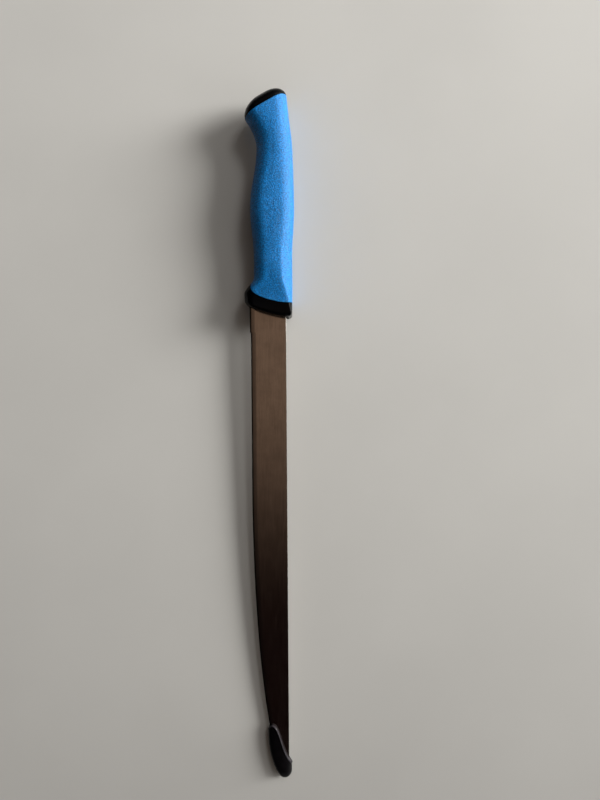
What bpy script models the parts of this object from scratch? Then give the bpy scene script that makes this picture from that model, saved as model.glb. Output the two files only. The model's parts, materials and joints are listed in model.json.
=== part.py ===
"""Slicing knife with a two-colour moulded handle and a slip-on tip guard.

The knife is drawn in its own frame: +X along the spine towards the tip, +Y from the edge
towards the spine, y = 0 on the spine, z = 0 on the blade's middle plane, and x = 0 where the
blade leaves the collar near its edge. It is then laid on its side, on the collar and the tip
guard, with the middle of its footprint at the origin. All lengths are in metres.
"""

import math

import bmesh
import bpy
import numpy as np
from mathutils import Matrix, Vector

# Fits
GAP = 0.0003            # clearance between neighbouring pieces
GUARD_FIT = 0.0003      # clearance of the tip guard's slot round the blade

# Blade
BLADE_LENGTH = 0.3      # spine, from the collar to the tip
BLADE_WIDTH = 0.0226
SPINE_THICKNESS = 0.002
TIP_THICKNESS = 0.0012
TAPER_LENGTH = 0.12     # stretch before the tip in which the spine gets thinner
SHOULDER_THICKNESS = 0.0009
SHOULDER_OFFSET = 0.0032    # edge bevel's shoulder line, from the edge
BEVEL_OFFSET = 0.0007       # sharpened band, from the edge
BEVEL_THICKNESS = 0.0004
EDGE_THICKNESS = 0.0001
HEEL_LENGTH = 0.012     # unsharpened stretch in front of the collar
HEEL_STEP = 0.0006      # how far the heel stands out below the edge
HEEL_RAMP = 0.0008
BELLY_LENGTH = 0.19     # curved stretch of the edge before the tip
BELLY_REACH = 0.112     # how far the edge stays nearly straight in that stretch
TIP_ROUNDING = 0.0103   # how squarely the edge meets the spine at the tip
TIP_BLUNTNESS = 0.0006

# Tang, hidden in the handle
TANG_LENGTH = 0.1
TANG_WIDTH = 0.013
TANG_END_WIDTH = 0.008
TANG_DROP = 0.0085      # tang's centre line below the spine at the blade's shoulders
TANG_END_DROP = 0.0072
SHOULDER_DEPTH = 0.009  # how far the blade's full width goes into the collar
SHOULDER_STEP = 0.0002  # length in which the tang's fillets open out to that width
SHOULDER_FILLET = 0.003
GRIND_START_DEPTH = 0.005   # where the ground faces begin inside the collar
GRIND_RUNOUT = 0.003
TANG_HOLE_DIAMETER = 0.005
TANG_HOLE_COUNT = 3
TANG_HOLE_PITCH = 0.027
TANG_HOLE_START = 0.028     # first hole, back from the collar front

# Handle stations, each a distance further back than the one before
COLLAR_LENGTH = 0.012   # collar front to the fullest point of the collar
FLARE_LENGTH = 0.0108
NECK_LENGTH = 0.0132
PALM_LENGTH = 0.03
WAIST_LENGTH = 0.038
HOOK_LENGTH = 0.0186    # waist to the butt cap along the belly

# Depth of the belly line below the spine at those stations
FRONT_BELLY = 0.0252
COLLAR_BELLY = 0.0266
NECK_BELLY = 0.0203
PALM_BELLY = 0.0225
WAIST_BELLY = 0.0181
HOOK_BELLY = 0.0251
HOOK_FLARE = 0.7        # slope of the belly line where it meets the cap

# Height of the back line above the spine
FRONT_BACK = 0.0039
COLLAR_BACK = 0.0042
NECK_BACK = 0.0042
PALM_BACK = 0.0056
WAIST_BACK = 0.0047
HOOK_BACK = 0.0027

# Half thickness of the handle
FRONT_HALF = 0.0098
COLLAR_HALF = 0.0098
NECK_HALF = 0.0092
PALM_HALF = 0.0103
WAIST_HALF = 0.0095
HOOK_HALF = 0.0098

# Rounding between the side panels and the back or belly, across the panel
FRONT_BACK_ROUND = 0.0008
COLLAR_BACK_ROUND = 0.0040
NECK_BACK_ROUND = 0.0064
PALM_BACK_ROUND = 0.0073
HOOK_BACK_ROUND = 0.0078
FRONT_BELLY_ROUND = 0.0048
NECK_BELLY_ROUND = 0.0096
PALM_BELLY_ROUND = 0.0097
HOOK_BELLY_ROUND = 0.0108
PANEL_CROWN = 0.0002    # rise of the side panels between their roundings
COLLAR_FALL = 0.0026    # how far the side panels fall towards the belly behind the collar
FLARE_FALL = 0.0010     # and where the flare ends

# How far the rounding at the back is a flat chamfer with a crease, from 0 to 1
FRONT_CREASE = 0.3
NECK_CREASE = 0.7
PALM_CREASE = 0.15

# Collar and butt cap
FRONT_SLANT = 0.275     # collar front: forward travel per unit towards the back
FRONT_REACH = 0.0006    # and how far it stands past x = 0 on the middle of the blade
FRONT_FILLET = 0.002
FRONT_CORNER = 0.0022   # how far the front falls back at its two ends
FRONT_CORNER_POWER = 3.0
COLLAR_BACK_BAND = 0.0083   # length of the collar along the back
COLLAR_BELLY_BAND = 0.0148  # and along the belly
COLLAR_SWEEP = 6.5     # how late the collar's rear line turns back towards the belly
CAP_SLANT = math.radians(29.2)
CAP_LEAN = math.radians(11.0)   # how far the butt cap's dome leans towards the back
CAP_HEIGHT = 0.0083     # rise of the dome
CAP_SQUARENESS = 2.1
GRIP_WALL = 0.0028      # thickness of the soft outer sleeve

# Tip guard
GUARD_NOSE_RADIUS = 0.0051
GUARD_BACK_WALL = 0.0015    # over the spine
GUARD_END_WALL = 0.0014     # in front of the tip
GUARD_BELLY_WALL = 0.0003   # over the edge, at the mouth
GUARD_BELLY_REACH = 0.0185  # how far the edge side keeps its direction from the mouth
GUARD_BELLY_SWELL = 0.0018  # and how far it swells outwards there
GUARD_NOSE_TURN = 0.0046    # how squarely the edge side runs into the nose
GUARD_HALF = 0.0029
GUARD_MOUTH_HALF = 0.0024
GUARD_LENGTH = 0.0348       # along the edge
GUARD_MOUTH_LENGTH = 0.0242     # mouth, from its edge end to its spine end
GUARD_MOUTH_DROP = 0.011    # edge end of the mouth's slant, below the spine
GUARD_MOUTH_WAIST = 0.0053  # where the rim runs along the blade, below the spine
GUARD_MOUTH_BEND = 0.0165   # how far along the mouth the rim turns to the spine
GUARD_CORNER_FALL = 0.0016  # how far the rim falls back at the edge side
GUARD_CORNER_WIDTH = 0.0026     # and over what width
GUARD_SQUARENESS = 2.3
LIP_HEIGHT = 0.00035
LIP_WIDTH = 0.0009

# Section corners: how fast their depth grows with their width
CORNER_FALL = 2.25

# Mesh density
BLANK_SHARES = (0.6, 0.9)   # where the blank's sides carry points, from the back to the belly
RING_CROWDING = 1.35    # how much closer the handle's rings are behind the collar
SWEEP_FADE = 8          # how soon those rings lose the sweep of the collar's rear line
SLOT_REACH = 0.6        # how far the slot's cutter stands out of the guard, in guard lengths
ARC_STEPS = 6
PANEL_STEPS = 4
GUARD_POINTS = 40
SOLVE_STEPS = 34

DENSITY = {"blade": 7750.0, "handle_core": 950.0, "grip": 980.0, "tip_guard": 1050.0}
COLOURS = {
    "blade": ((0.40, 0.36, 0.33), 0.3, 1.0),
    "handle_core": ((0.003, 0.003, 0.004), 0.42, 0.0),
    "grip": ((0.004, 0.15, 0.47), 0.5, 0.0),
    "tip_guard": ((0.004, 0.003, 0.004), 0.4, 0.0),
}


def smooth_curve(points, start_slope=None, end_slope=0.0):
    """A smooth function through (position, value) points that never overshoots them."""
    at = [p[0] for p in points]
    value = [p[1] for p in points]
    secants = [(value[i + 1] - value[i]) / (at[i + 1] - at[i]) for i in range(len(at) - 1)]
    slopes = [secants[0] if start_slope is None else start_slope]
    for before, after in zip(secants, secants[1:]):
        slopes.append(2 * before * after / (before + after) if before * after > 0 else 0.0)
    slopes.append(end_slope)

    def curve(position):
        if position <= at[0]:
            return value[0] + slopes[0] * (position - at[0])
        if position >= at[-1]:
            return value[-1] + slopes[-1] * (position - at[-1])
        i = max(k for k in range(len(at) - 1) if position >= at[k])
        span = at[i + 1] - at[i]
        t = (position - at[i]) / span
        rise = value[i + 1] - value[i]
        ease = t * t * (3 - 2 * t)
        return (
            value[i]
            + rise * ease
            + span * t * (1 - t) * (slopes[i] * (1 - t) - slopes[i + 1] * t)
        )

    return curve


def bezier(a, b, c, d, t):
    """A point of a cubic Bezier curve."""
    s = 1 - t
    return tuple(
        s**3 * a[k] + 3 * s * s * t * b[k] + 3 * s * t * t * c[k] + t**3 * d[k]
        for k in range(len(a))
    )


# Blade outline and section


def edge_outline(steps=26):
    """(x, width) down the edge, from the end of its straight part to the tip."""
    start = (BLADE_LENGTH - BELLY_LENGTH, BLADE_WIDTH)
    leave = (start[0] + BELLY_REACH, BLADE_WIDTH)
    arrive = (BLADE_LENGTH, TIP_BLUNTNESS + TIP_ROUNDING)
    tip = (BLADE_LENGTH, TIP_BLUNTNESS)
    # Points crowd towards the tip, where the edge turns hardest
    shares = [math.sin(0.5 * math.pi * i / steps) for i in range(steps + 1)]
    return [bezier(start, leave, arrive, tip, share) for share in shares]


EDGE_OUTLINE = edge_outline()


def blade_width(x):
    """Distance from spine to edge at x."""
    xs = [p[0] for p in EDGE_OUTLINE]
    return float(np.interp(x, xs, [p[1] for p in EDGE_OUTLINE]))


def spine_thickness(x):
    """Full thickness of the spine, thinner over the last stretch."""
    taper = max(0.0, (x - (BLADE_LENGTH - TAPER_LENGTH)) / TAPER_LENGTH)
    return SPINE_THICKNESS + (TIP_THICKNESS - SPINE_THICKNESS) * taper


def band(offset, width):
    """A band along the edge, which narrows smoothly where the blade does."""
    return offset * (1 - math.exp(-width / (2 * offset)))


def blade_section(x, width, grow=0.0):
    """The eight corners of the ground blade's section, grown by a clearance."""
    half = spine_thickness(x) / 2
    grind_slope = (SPINE_THICKNESS - SHOULDER_THICKNESS) / 2 / (BLADE_WIDTH - SHOULDER_OFFSET)
    shoulder = width - band(SHOULDER_OFFSET, width)
    bevel = width - band(BEVEL_OFFSET, width)
    edge_half = EDGE_THICKNESS / 2
    shoulder_half = half - grind_slope * shoulder
    bevel_share = (BEVEL_THICKNESS - EDGE_THICKNESS) / (SHOULDER_THICKNESS - EDGE_THICKNESS)
    bevel_half = edge_half + (shoulder_half - edge_half) * bevel_share
    upper = [
        (grow, half + grow),
        (-shoulder, shoulder_half + grow),
        (-bevel, bevel_half + grow),
        (-width - grow, edge_half + grow),
    ]
    return ring_from_upper(x, upper)


def blank_section(x, top, bottom):
    """A section of the unground tang between two heights."""
    half = SPINE_THICKNESS / 2
    shares = (0.0, *BLANK_SHARES, 1.0)
    return ring_from_upper(x, [(top + (bottom - top) * share, half) for share in shares])


def ring_from_upper(x, upper):
    """A closed ring at x from the upper half of its section and the mirrored lower half."""
    lower = [(y, -z) for y, z in reversed(upper)]
    return [(x, y, z) for y, z in upper + lower]


# Meshes from rings


def skin(rings, start="strips", end="strips"):
    """A closed mesh over rings of equally many points, its ends closed by strips or a point."""
    mesh = bmesh.new()
    loops = [[mesh.verts.new(p) for p in ring] for ring in rings]
    for first, second in zip(loops, loops[1:]):
        bridge(mesh, first, second)
    for loop, kind in ((loops[0], start), (loops[-1], end)):
        if isinstance(kind, tuple):
            apex = mesh.verts.new(kind)
            for i, vert in enumerate(loop):
                mesh.faces.new((vert, loop[(i + 1) % len(loop)], apex))
        elif kind == "strips":
            close_with_strips(mesh, loop)
    return mesh


def bridge(mesh, first, second):
    """Quads between two loops of equally many points."""
    count = len(first)
    for i in range(count):
        j = (i + 1) % count
        mesh.faces.new((first[i], first[j], second[j], second[i]))


def close_with_strips(mesh, loop):
    """Closes a loop that is alike above and below, joining each point to its mirror image."""
    count = len(loop)
    whole = all(abs(v.co.z) > 1e-7 for v in loop)
    pairs = [(i, count - 1 - i) for i in range(count // 2)] if whole else [
        (i, (count - i) % count) for i in range(count // 2 + 1)
    ]
    for (a, b), (c, d) in zip(pairs, pairs[1:]):
        corners = []
        for index in (a, c, d, b):
            if loop[index] not in corners:
                corners.append(loop[index])
        mesh.faces.new(corners)


def add_object(name, mesh, parent, origin=(0.0, 0.0, 0.0), cutter=False):
    """An object from a bmesh, with outward normals and its origin at a point of the knife."""
    bmesh.ops.recalc_face_normals(mesh, faces=mesh.faces)
    bmesh.ops.translate(mesh, verts=mesh.verts, vec=-Vector(origin))
    data = bpy.data.meshes.new(name)
    mesh.to_mesh(data)
    mesh.free()
    thing = bpy.data.objects.new(name, data)
    bpy.context.scene.collection.objects.link(thing)
    thing.parent = parent
    thing.location = origin
    if cutter:
        thing.hide_render = True
        thing.display_type = "WIRE"
    else:
        data.shade_smooth()
        data.set_sharp_from_angle(angle=math.radians(28))
        data.materials.append(plain_material(name))
    return thing


def plain_material(name):
    """The piece's own colour, roughness and metallic value."""
    colour, roughness, metallic = COLOURS[name]
    material = bpy.data.materials.new(name)
    material.use_nodes = True
    shader = material.node_tree.nodes["Principled BSDF"]
    shader.inputs["Base Color"].default_value = (*colour, 1.0)
    shader.inputs["Roughness"].default_value = roughness
    shader.inputs["Metallic"].default_value = metallic
    return material


def cut(target, cutter):
    """A Boolean difference left on the target."""
    modifier = target.modifiers.new(cutter.name, "BOOLEAN")
    modifier.operation = "DIFFERENCE"
    modifier.solver = "EXACT"
    modifier.object = cutter


# Blade and tang


def tang_edge(x, side):
    """Height of the tang's upper (+1) or lower (-1) side at x, behind the blade's shoulders."""
    along = (-SHOULDER_DEPTH - x) / (TANG_LENGTH - SHOULDER_DEPTH)
    centre = -TANG_DROP + (TANG_DROP - TANG_END_DROP) * along
    half = (TANG_WIDTH + (TANG_END_WIDTH - TANG_WIDTH) * along) / 2
    return centre + side * half


def tang_rings(grow=0.0, steps=5):
    """Rings of the tang from its rounded end to the blade's shoulders."""
    radius = TANG_END_WIDTH / 2 + grow
    start = -TANG_LENGTH - grow
    rings = []
    for i in range(1, steps + 1):
        angle = 0.5 * math.pi * i / steps
        x = start + radius * (1 - math.cos(angle))
        centre = (tang_edge(x, 1) + tang_edge(x, -1)) / 2
        half = (tang_edge(x, 1) - centre + grow) * math.sin(angle)
        rings.append((x, centre + half, centre - half))
    for i in range(steps + 1):
        angle = 0.5 * math.pi * i / steps
        x = -SHOULDER_DEPTH - grow - SHOULDER_FILLET * (1 - math.sin(angle))
        rise = SHOULDER_FILLET * (1 - math.cos(angle))
        top = min(tang_edge(x, 1) + rise, 0.0) + grow
        bottom = max(tang_edge(x, -1) - rise, -heel_width()) - grow
        rings.append((x, top, bottom))
    return rings


def heel_width():
    return BLADE_WIDTH + HEEL_STEP


def blade_piece(knife):
    """The whole steel part: tang with locking holes, ground blade, curved edge and tip."""
    rings = [blank_section(*ring) for ring in tang_rings()]
    shoulder = -SHOULDER_DEPTH + SHOULDER_STEP
    rings.append(blank_section(shoulder, 0.0, -heel_width()))
    rings.append(blank_section(-GRIND_START_DEPTH - GRIND_RUNOUT, 0.0, -heel_width()))
    rings.append(blade_section(-GRIND_START_DEPTH, heel_width()))
    rings.append(blade_section(HEEL_LENGTH, heel_width()))
    rings.append(blade_section(HEEL_LENGTH + HEEL_RAMP, BLADE_WIDTH))
    rings += [blade_section(x, width) for x, width in EDGE_OUTLINE]
    blade = add_object("blade", skin(rings), knife)
    radius = TANG_HOLE_DIAMETER / 2
    for i, place in enumerate(tang_hole_places()):
        hole = add_cylinder(f"tang_hole_cutter_{i + 1}", place, radius, SPINE_THICKNESS, knife)
        cut(blade, hole)
    return blade


def tang_hole_places():
    """Centres of the locking holes, along the tang's centre line."""
    places = []
    for i in range(TANG_HOLE_COUNT):
        x = -TANG_HOLE_START - i * TANG_HOLE_PITCH
        places.append((x, (tang_edge(x, 1) + tang_edge(x, -1)) / 2))
    return places


def add_cylinder(name, centre, radius, height, parent, segments=20):
    """An upright cylinder, standing out of both sides of a plate of the given height."""
    mesh = bmesh.new()
    bmesh.ops.create_cone(
        mesh, cap_ends=True, segments=segments, radius1=radius, radius2=radius, depth=2 * height
    )
    bmesh.ops.translate(mesh, verts=mesh.verts, vec=(centre[0], centre[1], 0.0))
    return add_object(name, mesh, parent, cutter=True)


# Handle surface


def stations(*values):
    """Pairs of (distance back from the collar front, value) for values at the handle's stations."""
    lengths = (0.0, COLLAR_LENGTH, FLARE_LENGTH, NECK_LENGTH, PALM_LENGTH, WAIST_LENGTH, HOOK_LENGTH)
    places = np.cumsum(lengths)
    return [(float(place), value) for place, value in zip(places, values) if value is not None]


BELLY = smooth_curve(
    stations(FRONT_BELLY, COLLAR_BELLY, NECK_BELLY, NECK_BELLY, PALM_BELLY, WAIST_BELLY, HOOK_BELLY),
    end_slope=HOOK_FLARE,
)
BACK = smooth_curve(
    stations(FRONT_BACK, COLLAR_BACK, NECK_BACK, NECK_BACK, PALM_BACK, WAIST_BACK, HOOK_BACK),
    end_slope=(HOOK_BACK - WAIST_BACK) / HOOK_LENGTH,
)
HALF = smooth_curve(stations(FRONT_HALF, COLLAR_HALF, None, NECK_HALF, PALM_HALF, WAIST_HALF, HOOK_HALF))
BACK_ROUND = smooth_curve(
    stations(
        FRONT_BACK_ROUND, COLLAR_BACK_ROUND, NECK_BACK_ROUND, None, PALM_BACK_ROUND, None, HOOK_BACK_ROUND
    )
)
BELLY_ROUND = smooth_curve(
    stations(FRONT_BELLY_ROUND, None, NECK_BELLY_ROUND, None, PALM_BELLY_ROUND, None, HOOK_BELLY_ROUND)
)
BACK_CREASE = smooth_curve(stations(FRONT_CREASE, None, NECK_CREASE, None, PALM_CREASE, None, PALM_CREASE))
PANEL_FALL = smooth_curve(stations(0.0, COLLAR_FALL, FLARE_FALL, 0.0, 0.0, 0.0, 0.0))


def corner(across, half, share, crease=0.0):
    """(inward across the panel, height) a share of the way up a corner of the section.

    A quarter of an ellipse blended with its chord; a wide corner reaches nearly down to the
    middle plane, a narrow one leaves an upright wall.
    """
    down = half * (1 - math.exp(-CORNER_FALL * across / half))
    angle = share * math.pi / 2
    inward = (1 - math.cos(angle)) * (1 - crease) + share * crease
    drop = (1 - math.sin(angle)) * (1 - crease) + (1 - share) * crease
    return across * inward, half - down * drop


def handle_point(x, place, inset=0.0):
    """(y, z) of one point of the handle's section at x; place is (zone, share)."""
    behind = -x
    half = HALF(behind) - inset
    back = BACK(behind) - inset
    belly = -BELLY(behind) + inset
    shrink = half / (half + inset)
    back_round = BACK_ROUND(behind) * shrink
    belly_round = BELLY_ROUND(behind) * shrink
    fall = PANEL_FALL(behind)
    zone, share = place
    if zone == "back_corner":
        inward, z = corner(back_round, half, share, BACK_CREASE(behind))
        return back - inward, z
    if zone == "belly_corner":
        inward, z = corner(belly_round, half - fall, 1 - share)
        return belly + inward, z
    y = back - back_round + (belly + belly_round - back + back_round) * share
    return y, half - fall * share + PANEL_CROWN * 4 * share * (1 - share)


def ring_places():
    """The places round the upper half of the handle's section, from back to belly."""
    places = [("back_corner", i / ARC_STEPS) for i in range(ARC_STEPS + 1)]
    places += [("panel", i / PANEL_STEPS) for i in range(1, PANEL_STEPS)]
    places += [("belly_corner", i / ARC_STEPS) for i in range(ARC_STEPS + 1)]
    return places


def solve_x(offset, low, high):
    """The x between low and high where offset(x) passes through zero."""
    for _ in range(SOLVE_STEPS):
        middle = (low + high) / 2
        if offset(middle) < 0:
            low = middle
        else:
            high = middle
    return (low + high) / 2


def handle_ring(sheet, inset=0.0):
    """The ring where the handle's surface crosses the upright sheet x = sheet(x, y)."""
    far_back = -(TANG_LENGTH + 2 * WAIST_LENGTH)
    upper = []
    for place in ring_places():
        x = solve_x(lambda x: x - sheet(x, handle_point(x, place, inset)[0]), far_back, COLLAR_LENGTH)
        upper.append((x, *handle_point(x, place, inset)))
    return upper + [(x, y, -z) for x, y, z in reversed(upper)]


def share_across(x, y):
    """0 on the back line and 1 on the belly line of the handle."""
    back = BACK(-x)
    return min(1.0, max(0.0, (back - y) / (back + BELLY(-x))))


def front_sheet(x, y):
    """The collar's slanted front, which falls back towards its two ends."""
    off_centre = abs(2 * share_across(x, y) - 1)
    straight = FRONT_SLANT * (y + BLADE_WIDTH / 2) + FRONT_REACH
    return straight - FRONT_CORNER * off_centre**FRONT_CORNER_POWER


def collar_sheet(x, y, gap=0.0):
    """The collar's rear line, which sweeps back along the belly, or the grip's edge behind it."""
    sweep = (COLLAR_BELLY_BAND - COLLAR_BACK_BAND) * share_across(x, y) ** COLLAR_SWEEP
    slope = sweep * COLLAR_SWEEP / (BACK(-x) + BELLY(-x)) + FRONT_SLANT
    return front_sheet(x, y) - COLLAR_BACK_BAND - sweep - gap * math.hypot(1.0, slope)


def cap_sheet(x, y, gap=0.0):
    """The slanted plane between the grip and the butt cap, or a plane a gap in front of it."""
    belly_length = COLLAR_LENGTH + FLARE_LENGTH + NECK_LENGTH + PALM_LENGTH + WAIST_LENGTH + HOOK_LENGTH
    return -belly_length - math.tan(CAP_SLANT) * (y + HOOK_BELLY) + gap / math.cos(CAP_SLANT)


def sheet_between(share, gap=0.0):
    """A sheet part of the way from the collar's rear line (0) to the cap's plane (1)."""

    def sheet(x, y):
        # The collar's sweep fades out over the first rings
        straight = front_sheet(x, y) - COLLAR_BACK_BAND
        swept = collar_sheet(x, y, gap)
        near = straight + (swept - straight) * (1 - share) ** SWEEP_FADE
        return near * (1 - share) + cap_sheet(x, y, gap) * share

    return sheet


def grip_shares(count):
    """Shares along the grip, closer together in the flare behind the collar."""
    return [(i / count) ** RING_CROWDING for i in range(count + 1)]


# Handle pieces


def grip_piece(knife, outer_count=40, inner_count=18):
    """The soft sleeve: outer skin, inner skin and the two rims that join them."""
    rings = front_rim(GAP)[::-1]
    rings += [handle_ring(sheet_between(s, GAP)) for s in grip_shares(outer_count)[1:]]
    rings += [handle_ring(sheet_between(s, GAP), GRIP_WALL) for s in grip_shares(inner_count)[::-1]]
    mesh = bmesh.new()
    loops = [[mesh.verts.new(p) for p in ring] for ring in rings[:-1]]
    for first, second in zip(loops, loops[1:] + loops[:1]):
        bridge(mesh, first, second)
    return add_object("grip", mesh, knife)


def front_rim(gap=0.0, steps=3):
    """Rings down the collar's rear face, or the grip's edge behind it, from outside in."""
    return [handle_ring(sheet_between(0.0, gap), GRIP_WALL * i / steps) for i in range(steps + 1)]


def front_rings(steps=4):
    """The collar's rounded front edge, from its side to the flat front."""
    rings = []
    for i in range(steps + 1):
        angle = 0.5 * math.pi * i / steps
        inset = FRONT_FILLET * (1 - math.cos(angle))
        back_off = FRONT_FILLET * (1 - math.sin(angle))
        rings.append(handle_ring(lambda x, y: front_sheet(x, y) - back_off, inset))
    return rings[::-1]


def cap_rings(steps=8):
    """The butt cap's dome over its slanted rim, and its highest point."""
    rim = handle_ring(cap_sheet)
    corners = np.array(rim)
    centre = (corners.max(axis=0) + corners.min(axis=0)) / 2
    lean = CAP_SLANT - CAP_LEAN
    outward = np.array([-math.cos(lean), -math.sin(lean), 0.0])
    rings = []
    for i in range(steps):
        reach = math.cos(0.5 * math.pi * i / steps)
        rise = CAP_HEIGHT * (1 - reach**CAP_SQUARENESS) ** (1 / CAP_SQUARENESS)
        rings.append([tuple(centre + (p - centre) * reach + outward * rise) for p in corners])
    return rings, tuple(centre + outward * CAP_HEIGHT)


def core_piece(knife, collar_count=7, neck_count=18):
    """The hard first shot: collar, inner core under the grip and butt cap, round the tang."""
    rings = front_rings()
    rings += [handle_ring(collar_ring_sheet(i / collar_count)) for i in range(1, collar_count)]
    rings += front_rim()
    rings += [handle_ring(sheet_between(s), GRIP_WALL + GAP) for s in grip_shares(neck_count)]
    dome, apex = cap_rings()
    rings += dome
    core = add_object("handle_core", skin(rings, end=apex), knife)
    cut(core, tang_cutter(knife))
    return core


def collar_ring_sheet(share):
    """A sheet across the collar, from behind its rounded front (0) to its rear line (1)."""

    def sheet(x, y):
        return (front_sheet(x, y) - FRONT_FILLET) * (1 - share) + collar_sheet(x, y) * share

    return sheet


def tang_cutter(knife):
    """The slot that the core closes round the tang, leaving a pin in each locking hole."""
    rings = [grown_blank(ring) for ring in tang_rings(GAP)]
    width = heel_width()
    past_front = front_sheet(0.0, 0.0) + 2 * FRONT_FILLET
    rings.append(grown_blank((-SHOULDER_DEPTH - GAP + SHOULDER_STEP, GAP, -width - GAP)))
    rings.append(grown_blank((past_front, GAP, -width - GAP)))
    cutter = add_object("tang_slot_cutter", skin(rings), knife, cutter=True)
    for i, place in enumerate(tang_hole_places()):
        radius = TANG_HOLE_DIAMETER / 2 - GAP
        pin = add_cylinder(f"pin_cutter_{i + 1}", place, radius, SPINE_THICKNESS, knife)
        cut(cutter, pin)
    return cutter


def grown_blank(ring):
    """A section of the tang's slot, thicker than the tang by the gap on each side."""
    return [(x, y, z + math.copysign(GAP, z)) for x, y, z in blank_section(*ring)]


# Tip guard


def guard_start():
    """Where the guard's edge side begins."""
    return BLADE_LENGTH + GUARD_FIT + GUARD_END_WALL - GUARD_LENGTH


def guard_nose():
    """Centre of the guard's round nose, on the middle plane."""
    x = BLADE_LENGTH + GUARD_FIT + GUARD_END_WALL - GUARD_NOSE_RADIUS
    return x, GUARD_FIT + GUARD_BACK_WALL - GUARD_NOSE_RADIUS


def guard_edge_outline(steps=40):
    """The guard's edge side in plan, from the mouth to the end of the nose."""
    nose_x, nose_y = guard_nose()
    end = nose_x + GUARD_NOSE_RADIUS
    start = guard_start()
    side = -(blade_width(start) + GUARD_FIT + GUARD_BELLY_WALL)
    handles = (
        (start, side),
        (start + GUARD_BELLY_REACH, side - GUARD_BELLY_SWELL),
        (end, nose_y - GUARD_NOSE_TURN),
        (end, nose_y),
    )
    return [bezier(*handles, math.sin(0.5 * math.pi * i / steps)) for i in range(steps + 1)]


GUARD_OUTLINE = guard_edge_outline()


def guard_extent(x):
    """(edge side, spine side, half thickness) of the guard's outer form at x."""
    nose_x, nose_y = guard_nose()
    edge_side = float(np.interp(x, [p[0] for p in GUARD_OUTLINE], [p[1] for p in GUARD_OUTLINE]))
    along = min(1.0, max(0.0, (x - guard_start()) / (nose_x - guard_start())))
    half = GUARD_MOUTH_HALF + (GUARD_HALF - GUARD_MOUTH_HALF) * math.sin(0.5 * math.pi * along)
    past_nose = min(1.0, max(0.0, (x - nose_x) / GUARD_NOSE_RADIUS))
    chord = math.sqrt(1 - past_nose**2)
    return edge_side, nose_y + GUARD_NOSE_RADIUS * chord, half * chord


def guard_point(x, angle, outset=0.0):
    """(y, z) of a point of the guard's section, a flattened ellipse with full sides."""
    low, high, half = guard_extent(x)
    middle = (low + high) / 2
    reach = (high - low) / 2 + outset
    c, s = math.cos(angle), math.sin(angle)
    power = 2 / GUARD_SQUARENESS
    y = middle + reach * math.copysign(abs(c) ** power, c)
    return y, (half + outset) * math.copysign(abs(s) ** power, s)


def mouth_outline(steps=40):
    """(y, x) along the guard's rim: square across the edge, then running out to the spine."""
    start = guard_start()
    handles = (
        (-GUARD_MOUTH_DROP, start),
        (-GUARD_MOUTH_WAIST, start),
        (-GUARD_MOUTH_WAIST, start + GUARD_MOUTH_BEND),
        (GUARD_FIT + GUARD_BACK_WALL, start + GUARD_MOUTH_LENGTH),
    )
    return [bezier(*handles, i / steps) for i in range(steps + 1)]


MOUTH_OUTLINE = mouth_outline()
MOUTH_CORNER_FROM = GUARD_OUTLINE[0][1] + GUARD_CORNER_WIDTH


def mouth_sheet(y):
    """The guard's mouth, an upright sheet through its rim."""
    past = max(MOUTH_CORNER_FROM - y, 0.0) / GUARD_CORNER_WIDTH
    rim = float(np.interp(y, [p[0] for p in MOUTH_OUTLINE], [p[1] for p in MOUTH_OUTLINE]))
    return rim + GUARD_CORNER_FALL * past**2


def guard_ring(share, distance=0.0, outset=0.0):
    """A ring of the guard a share of the way from its mouth to its nose."""
    nose_x = guard_nose()[0] + GUARD_NOSE_RADIUS
    step = GUARD_FIT

    def sheet(y):
        slope = (mouth_sheet(y + step) - mouth_sheet(y - step)) / (2 * step)
        return (mouth_sheet(y) + distance * math.hypot(1.0, slope)) * (1 - share) + nose_x * share

    upper = []
    for i in range(GUARD_POINTS // 2 + 1):
        angle = 2 * math.pi * i / GUARD_POINTS
        low = BLADE_LENGTH - 2 * GUARD_LENGTH
        x = solve_x(lambda x: x - sheet(guard_point(x, angle, outset)[0]), low, nose_x)
        upper.append((x, *guard_point(x, angle, outset)))
    lower = [(x, y, -z) for x, y, z in upper[-2:0:-1]]
    return upper + lower


def guard_piece(knife, lip_steps=4, body_steps=16):
    """The moulded boot over the tip, with a raised lip round its slanted mouth."""
    rings = []
    for i in range(lip_steps + 1):
        across = 2 * i / lip_steps - 1
        rings.append(guard_ring(0.0, LIP_WIDTH * i / lip_steps, LIP_HEIGHT * math.sqrt(1 - across**2)))
    for i in range(1, body_steps):
        share = math.sin(0.5 * math.pi * i / body_steps)
        rings.append(guard_ring(share, LIP_WIDTH))
    nose_x, nose_y = guard_nose()
    apex = (nose_x + GUARD_NOSE_RADIUS, nose_y, 0.0)
    origin = (BLADE_LENGTH, 0.0, 0.0)
    guard = add_object("tip_guard", skin(rings, end=apex), knife, origin=origin)
    cut(guard, guard_slot_cutter(knife))
    return guard


def guard_slot_cutter(knife):
    """The blade's own tip, grown by the guard's fit and reaching out of the mouth."""
    start = guard_start() - SLOT_REACH * GUARD_LENGTH
    stretch = [(x, width) for x, width in EDGE_OUTLINE if x > start]
    rings = [blade_section(x, width, GUARD_FIT) for x, width in stretch[:-1]]
    tip_x, tip_width = stretch[-1]
    end_ring = blade_section(tip_x, tip_width + GUARD_FIT, GUARD_FIT)
    rings.append([(x + GUARD_FIT, y, z) for x, y, z in end_ring])
    return add_object("guard_slot_cutter", skin(rings), knife, cutter=True)


# Resting place


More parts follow.
